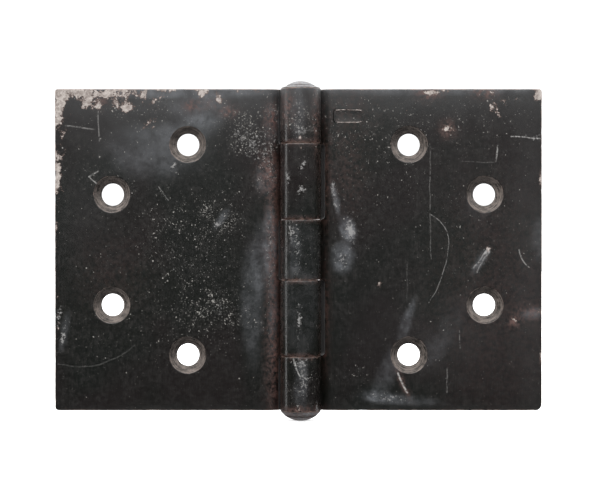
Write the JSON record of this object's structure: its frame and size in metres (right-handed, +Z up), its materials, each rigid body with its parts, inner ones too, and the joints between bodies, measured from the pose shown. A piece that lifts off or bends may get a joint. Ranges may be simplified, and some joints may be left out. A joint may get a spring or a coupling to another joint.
{
  "type": "butt hinge",
  "caption": "Wide-throw steel butt hinge laid open flat: rectangular leaves with countersunk screw holes, rolled-knuckle barrel and loose button-headed pin, in worn black paint.",
  "frame": {"origin": "on the pin's axis, halfway up the leaves", "axes": "+X from the pin towards the frame leaf's outer edge, +Y from the countersunk faces towards the leaves' backs, +Z up along the pin towards its head"},
  "size_m": [0.153, 0.0126, 0.1065],
  "materials": {
    "worn_black_paint": "old satin black paint over mild steel, chipped to grey primer and rust on edges, scuffed and speckled",
    "worn_button_paint": "old black paint over steel, rubbed thin on the crown and rusty at the rim"
  },
  "bodies": {
    "frame_leaf_body": {"frame_leaf": "worn_black_paint", "bottom_plug": "worn_button_paint"},
    "door_leaf_body": {"door_leaf": "worn_black_paint"},
    "pin_body": {"hinge_pin": "worn_button_paint"}
  },
  "joints": [
    {"name": "leaf_swing", "type": "hinge", "parent": "frame_leaf_body", "child": "door_leaf_body", "pos_m": [0, 0, 0], "axis": [0, 0, 1], "range_deg": [-82, 180]},
    {"name": "pin_lift", "type": "slide", "parent": "frame_leaf_body", "child": "pin_body", "axis": [0, 0, 1], "range_m": [0, 0.1]}
  ]
}
